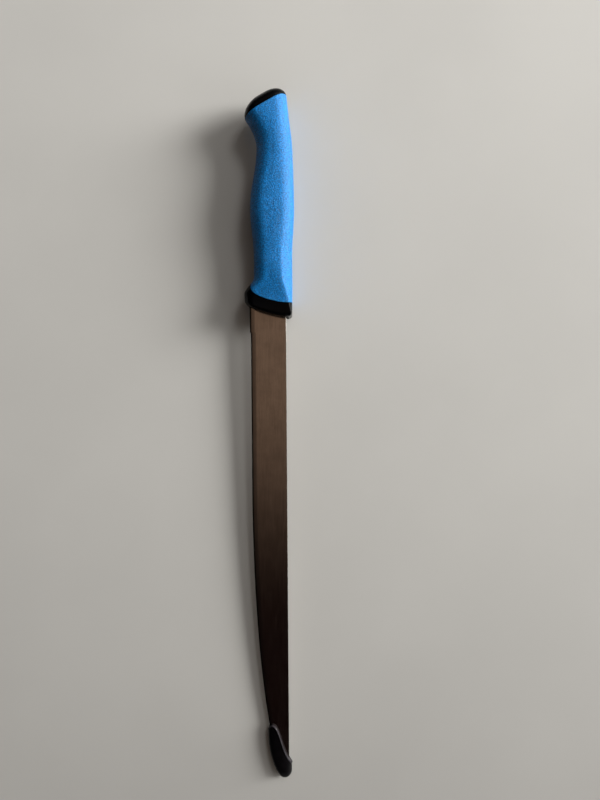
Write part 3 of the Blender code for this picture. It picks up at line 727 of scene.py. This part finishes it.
def guard_edge_outline():
    """The guard's edge side in plan, from the mouth to the end of the nose."""
    nose_x, nose_y = guard_nose()
    end = nose_x + GUARD_NOSE_RADIUS
    start = guard_start()
    width = np.interp(start, EDGE_OUTLINE[:, 0], EDGE_OUTLINE[:, 1])
    side = -(width + GUARD_FIT + GUARD_BELLY_WALL)
    handles = (
        (start, side),
        (start + GUARD_BELLY_REACH, side - GUARD_BELLY_SWELL),
        (end, nose_y - GUARD_NOSE_TURN),
        (end, nose_y),
    )
    return bezier(handles, crowded(OUTLINE_STEPS))


GUARD_OUTLINE = guard_edge_outline()
MOUTH_OUTLINE = bezier(
    (
        (-GUARD_MOUTH_DROP, guard_start()),
        (-GUARD_MOUTH_WAIST, guard_start()),
        (-GUARD_MOUTH_WAIST, guard_start() + GUARD_MOUTH_BEND),
        (GUARD_FIT + GUARD_BACK_WALL, guard_start() + GUARD_MOUTH_LENGTH),
    ),
    np.linspace(0, 1, OUTLINE_STEPS),
)
GUARD_CORNER_FROM = GUARD_OUTLINE[0][1] + GUARD_CORNER_WIDTH


def guard_section(x, angle, outset):
    """(y, z) of the guard's section, a flattened ellipse with full sides."""
    nose_x, nose_y = guard_nose()
    edge_side = np.interp(x, GUARD_OUTLINE[:, 0], GUARD_OUTLINE[:, 1])
    along = np.clip((x - guard_start()) / (nose_x - guard_start()), 0.0, 1.0)
    half = GUARD_MOUTH_HALF + (GUARD_HALF - GUARD_MOUTH_HALF) * np.sin(0.5 * math.pi * along)
    past_nose = np.clip((x - nose_x) / GUARD_NOSE_RADIUS, 0.0, 1.0)
    chord = np.sqrt(1 - past_nose**2)
    spine_side = nose_y + GUARD_NOSE_RADIUS * chord
    middle = (edge_side + spine_side) / 2
    reach = (spine_side - edge_side) / 2 + outset
    c, s = np.cos(angle), np.sin(angle)
    power = 2 / GUARD_SQUARENESS
    y = middle + reach * np.sign(c) * np.abs(c) ** power
    return y, (half * chord + outset) * np.sign(s) * np.abs(s) ** power


def mouth_sheet(y):
    """The guard's mouth, an upright sheet through its rim."""
    past = np.maximum(GUARD_CORNER_FROM - y, 0.0) / GUARD_CORNER_WIDTH
    return np.interp(y, MOUTH_OUTLINE[:, 0], MOUTH_OUTLINE[:, 1]) + GUARD_CORNER_FALL * past**2


def mouth_stretch(y, step=GUARD_FIT):
    """How far along the blade the mouth's sheet moves for each unit away from itself."""
    return np.hypot(1.0, (mouth_sheet(y + step) - mouth_sheet(y - step)) / (2 * step))


def guard_ring(share, distance=0.0, outset=0.0, points=112):
    """A ring of the guard a share of the way from its mouth to its nose."""
    end = guard_nose()[0] + GUARD_NOSE_RADIUS

    def sheet(x, y):
        return (mouth_sheet(y) + distance * mouth_stretch(y)) * (1 - share) + end * share

    angle = math.pi * np.arange(points // 2 + 1) / (points // 2)
    low = BLADE_LENGTH - 2 * GUARD_LENGTH
    upper = solved_ring(sheet, lambda x: guard_section(x, angle, outset), low, end, len(angle))
    upper[0, 2] = upper[-1, 2] = 0.0
    return full_ring(upper)


def add_guard(lip=14, body=56):
    """The moulded boot over the tip, with a raised lip round its slanted mouth."""
    rings = []
    for i in range(lip + 1):
        across = 2 * i / lip - 1
        rings.append(guard_ring(0.0, LIP_WIDTH * i / lip, LIP_HEIGHT * math.sqrt(1 - across**2)))
    for share in crowded(body)[1:-1]:
        rings.append(guard_ring(share, LIP_WIDTH))
    nose_x, nose_y = guard_nose()
    apex = (nose_x + GUARD_NOSE_RADIUS, nose_y, 0.0)
    guard = add_mesh("tip_guard_boot", *ring_mesh(rings, "strips", apex))
    start = guard_start() - SLOT_LEAD * GUARD_LENGTH
    stretch = [p for p in EDGE_OUTLINE if p[0] > start]
    uppers = [blade_upper(x, width, SLOT_FIT) for x, width in stretch[:-1]]
    tip_x, tip_width = stretch[-1]
    end = blade_upper(tip_x, tip_width + SLOT_FIT, SLOT_FIT)
    uppers.append([(x + SLOT_FIT, y, z) for x, y, z in end])
    slot = add_mesh("slot", *ring_mesh([full_ring(u) for u in uppers], "strips", "strips"))
    cut_with(guard, [slot])
    mark(guard, "mouth_distance", lambda x, y, z: (x - mouth_sheet(y)) / mouth_stretch(y))
    guard.data.set_sharp_from_angle(angle=SHARP_ANGLE)
    return guard


# Materials


class Shading:
    """Short calls for building a material's or the world's nodes."""

    def __init__(self, owner):
        owner.use_nodes = True
        self.tree = owner.node_tree

    def feed(self, socket, value):
        """Links the socket to a node's output, or sets it to a constant."""
        if isinstance(value, bpy.types.NodeSocket):
            self.tree.links.new(value, socket)
        else:
            socket.default_value = value

    def node(self, kind, inputs=None, **settings):
        """A node with its settings made and its inputs fed."""
        made = self.tree.nodes.new(kind)
        for key, value in settings.items():
            setattr(made, key, value)
        for key, value in (inputs or {}).items():
            self.feed(made.inputs[key], value)
        return made

    def maths(self, operation, *values):
        """Output of a Math node."""
        made = self.node("ShaderNodeMath", dict(enumerate(values)), operation=operation)
        return made.outputs[0]

    def range(self, value, low, high, to_low, to_high):
        """A value carried smoothly from one range to another, and held beyond its ends."""
        keys = {
            "Value": value,
            "From Min": low,
            "From Max": high,
            "To Min": to_low,
            "To Max": to_high,
        }
        return self.node("ShaderNodeMapRange", keys, interpolation_type="SMOOTHSTEP").outputs[0]

    def scaled_colour(self, colour, factor):
        """A colour times a factor that varies over the surface."""
        made = self.node("ShaderNodeVectorMath", {0: colour, 3: factor}, operation="SCALE")
        return made.outputs[0]

    def mix(self, factor, a, b):
        """The colour a where the factor is 0, and b where it is 1."""
        return self.node("ShaderNodeMix", {0: factor, 6: a, 7: b}, data_type="RGBA").outputs[2]

    def noise(self, place, scale, detail=2.0, roughness=0.5):
        """Value of a noise texture."""
        keys = {"Vector": place, "Scale": scale, "Detail": detail, "Roughness": roughness}
        return self.node("ShaderNodeTexNoise", keys).outputs[0]

    def attribute(self, name):
        """A value that mark() stored on the mesh."""
        return self.node("ShaderNodeAttribute", attribute_name=name).outputs["Fac"]

    def stretched(self, place, scale):
        """A place scaled along each axis, for a pattern that runs one way."""
        made = self.node("ShaderNodeVectorMath", {0: place, 1: scale}, operation="MULTIPLY")
        return made.outputs[0]

    def bump(self, height, strength, distance):
        """A normal that follows the height."""
        keys = {"Height": height, "Strength": strength, "Distance": distance}
        return self.node("ShaderNodeBump", keys).outputs[0]


def material(name):
    """A new material, its shader and its object coordinates."""
    made = bpy.data.materials.new(name)
    shading = Shading(made)
    shader = shading.tree.nodes["Principled BSDF"]
    place = shading.node("ShaderNodeTexCoord").outputs["Object"]
    return made, shading, shader, place


def put(shading, shader, **sockets):
    """Sets or links sockets of the shader; underscores in the keys stand for spaces."""
    for key, value in sockets.items():
        shading.feed(shader.inputs[key.replace("_", " ")], value)


def eroded_plastic(name, colour, roughness, gloss, grain, depth, mottle):
    """Moulded plastic with the fine grain of a spark-eroded mould."""
    made, s, shader, place = material(name)
    coarse = s.noise(place, grain, 2.0, 0.7)
    fine = s.noise(place, grain * FINE_GRAIN, 1.0)
    height = s.maths("MULTIPLY_ADD", fine, FINE_GRAIN_SHARE, coarse)
    broad = s.noise(place, 70.0, 2.0)
    shade = s.range(coarse, *NARROW_SPREAD, 1 - mottle, 1 + mottle)
    drift = s.range(broad, *NOISE_SPREAD, 0.97, 1.03)
    put(
        s,
        shader,
        Base_Color=s.scaled_colour(colour, s.maths("MULTIPLY", shade, drift)),
        Roughness=s.range(fine, *WIDE_SPREAD, roughness - 0.05, roughness + 0.07),
        Specular_IOR_Level=gloss,
        Normal=s.bump(height, 1.0, depth),
    )
    return made


def ground_steel():
    """Satin steel, ground lengthwise, with a few fine scratches and specks, and painted shade in a
    dark line along the cutting edge.
    """
    made, s, shader, place = material("ground_steel")
    streaks = s.noise(s.stretched(place, GRIND_STREAKS), 1.0, 3.0, 0.6)
    hairs = s.noise(s.stretched(place, GRIND_HAIRS), 1.0, 2.0)
    cloud = s.noise(place, 110.0, 6.0, 0.65)
    shade = s.range(streaks, *NOISE_SPREAD, 0.88, 1.11)
    shade = s.maths("MULTIPLY", shade, s.range(cloud, *NOISE_SPREAD, 0.91, 1.08))
    # Painted shade: a dark line along the cutting edge and a dimmer band over its bevel
    from_edge = s.attribute("edge_distance")
    shade = s.maths("MULTIPLY", shade, s.range(from_edge, *PAINTED_EDGE_SHADE))
    shade = s.maths("MULTIPLY", shade, s.range(from_edge, *PAINTED_BEVEL_SHADE))
    rough = s.range(streaks, *WIDE_SPREAD, 0.15, 0.21)
    put(
        s,
        shader,
        Base_Color=s.scaled_colour(STEEL, shade),
        Metallic=1.0,
        Roughness=rough,
        Normal=s.bump(hairs, 0.25, 0.000004),
    )
    return made


def waxy_plastic():
    """The tip guard's smooth, slightly waxy plastic, with a painted highlight in a paler colour
    along the lip.
    """
    made, s, shader, place = material("waxy_plastic")
    grain = s.noise(place, 2600.0, 2.0)
    broad = s.noise(place, 260.0, 3.0)
    put(
        s,
        shader,
        # Painted highlight: the colour turns paler over the lip's rounding
        Base_Color=s.mix(
            s.range(s.attribute("mouth_distance"), 0.5 * LIP_WIDTH, LIP_WIDTH, 1.0, 0.0),
            s.scaled_colour(GUARD_BLACK, s.range(broad, *NOISE_SPREAD, 0.85, 1.2)),
            PAINTED_LIP_HIGHLIGHT,
        ),
        Specular_IOR_Level=0.36,
        Roughness=s.range(broad, *NOISE_SPREAD, 0.28, 0.34),
        Normal=s.bump(grain, 0.5, 0.00001),
    )
    return made


# Surroundings


def add_camera():
    """The photograph's camera: straight above the knife, turned by a fraction of a degree."""
    data = bpy.data.cameras.new("photo_camera")
    data.sensor_fit = "AUTO"
    data.sensor_width = SENSOR_WIDTH
    data.lens = LENS
    camera = bpy.data.objects.new("photo_camera", data)
    bpy.context.scene.collection.objects.link(camera)
    over = PLACEMENT @ Vector((*CAMERA_OVER, 0.0))
    sin_roll, cos_roll = math.sin(CAMERA_ROLL), math.cos(CAMERA_ROLL)
    camera.matrix_world = Matrix((
        (sin_roll, -cos_roll, 0.0, over.x),
        (cos_roll, sin_roll, 0.0, over.y),
        (0.0, 0.0, 1.0, CAMERA_HEIGHT),
        (0.0, 0.0, 0.0, 1.0),
    ))
    bpy.context.scene.camera = camera


def add_floor():
    """A plain pale table top, which throws less light back on the knife than it shows."""
    data = bpy.data.meshes.new("table_top")
    marks = np.linspace(-FLOOR_SIZE / 2, FLOOR_SIZE / 2, FLOOR_STEPS + 1)
    points = [(x, y, 0.0) for x in marks for y in marks]
    row = FLOOR_STEPS + 1
    faces = []
    for i in range(FLOOR_STEPS):
        for j in range(FLOOR_STEPS):
            a = i * row + j
            faces.append((a, a + row, a + row + 1, a + 1))
    data.from_pydata(points, [], faces)
    floor = bpy.data.objects.new("table_top", data)
    bpy.context.scene.collection.objects.link(floor)
    made, s, shader, place = material("pale_table")
    broad = s.range(s.noise(place, 9.0, 3.0), *NOISE_SPREAD, 0.98, 1.02)
    path = s.node("ShaderNodeLightPath").outputs
    seen = s.maths("MAXIMUM", path["Is Camera Ray"], path["Is Glossy Ray"])
    seen = s.maths("MAXIMUM", seen, path["Is Transmission Ray"])
    shade = s.maths("MULTIPLY", broad, s.range(seen, 0.0, 1.0, FLOOR_RETURN, 1.0))
    put(
        s,
        shader,
        Base_Color=s.scaled_colour(TABLE, shade),
        Roughness=0.8,
        Specular_IOR_Level=0.15,
    )
    data.materials.append(made)


def add_area_light(name, position, target, size, power, colour, spread=180.0):
    """A rectangular lamp that faces its target."""
    data = bpy.data.lights.new(name, "AREA")
    data.shape = "RECTANGLE"
    data.size, data.size_y = size
    data.energy = power
    data.color = colour
    data.spread = math.radians(spread)
    lamp = bpy.data.objects.new(name, data)
    bpy.context.scene.collection.objects.link(lamp)
    lamp.location = position
    lamp.visible_camera = False
    lamp.rotation_euler = (Vector(target) - Vector(position)).to_track_quat("-Z", "Y").to_euler()


def add_world():
    """A dim warm ceiling, darker towards the tip and the edge's side, and pale walls elsewhere."""
    world = bpy.data.worlds.new("room")
    bpy.context.scene.world = world
    s = Shading(world)
    direction = s.node("ShaderNodeTexCoord").outputs["Generated"]
    to_tip, to_window, up = s.node("ShaderNodeSeparateXYZ", {0: direction}).outputs
    ceiling = s.mix(s.range(to_tip, *TIP_FADE, 0.0, 1.0), CEILING, CEILING_AT_TIP)
    window_side = s.range(to_window, *WINDOW_RISE, 0.0, 1.0)
    faded = s.maths("MULTIPLY", window_side, s.range(to_tip, *WINDOW_FADE, 1.0, 0.1))
    ends = s.maths(
        "MAXIMUM",
        s.range(to_tip, *BUTT_WALL, 0.0, 1.0),
        s.range(to_tip, *TIP_WALL, 0.0, 0.8),
    )
    upper = s.mix(faded, ceiling, WINDOW_WALL)
    upper = s.mix(ends, upper, END_WALLS)
    lower = s.mix(window_side, LOW_WALLS, WINDOW_WALL)
    colour = s.mix(s.range(up, *CEILING_RIM, 0.0, 1.0), upper, lower)
    colour = s.mix(s.range(to_window, *EDGE_SIDE, 0.0, 1.0), colour, EDGE_SIDE_WALL)
    background = s.tree.nodes["Background"]
    s.tree.links.new(colour, background.inputs["Color"])
    background.inputs["Strength"].default_value = 1.0


bpy.context.scene.view_settings.view_transform = "Standard"
add_camera()
add_floor()
add_area_light(
    "window",
    position=(-0.85, 2.1, 0.69),
    target=(-0.45, 0.05, 0.0),
    size=(1.2, 1.3),
    power=17.4,
    colour=DAYLIGHT,
    spread=52.0,
)
add_area_light(
    "upper_window",
    position=(-0.93, 0.56, 0.93),
    target=(-0.18, 0.0, 0.0),
    size=(0.4, 0.3),
    power=3.0,
    colour=HIGH_DAYLIGHT,
)
add_area_light(
    "window_end",
    position=(0.2, 0.62, 0.28),
    target=(0.13, 0.12, 0.0),
    size=(0.4, 0.32),
    power=0.42,
    colour=DAYLIGHT,
    spread=120.0,
)
add_world()

pieces = (
    (add_blade(), "blade", "knife", "blade_steel", ground_steel()),
    (
        add_core(),
        "handle_core",
        "knife",
        "black_plastic",
        eroded_plastic(
            "black_plastic",
            BLACK,
            roughness=0.22,
            gloss=0.09,
            grain=1300.0,
            depth=0.0001,
            mottle=0.1,
        ),
    ),
    (
        add_grip(),
        "grip",
        "knife",
        "blue_grip",
        eroded_plastic(
            "blue_plastic",
            BLUE,
            roughness=0.38,
            gloss=0.35,
            grain=1350.0,
            depth=0.0004,
            mottle=0.42,
        ),
    ),
    (add_guard(), "tip_guard", "guard", "guard_plastic", waxy_plastic()),
)
for piece, node, body, slot, look in pieces:
    piece.data.materials.clear()
    piece.data.materials.append(look)
    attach(piece, body)
    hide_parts(node)
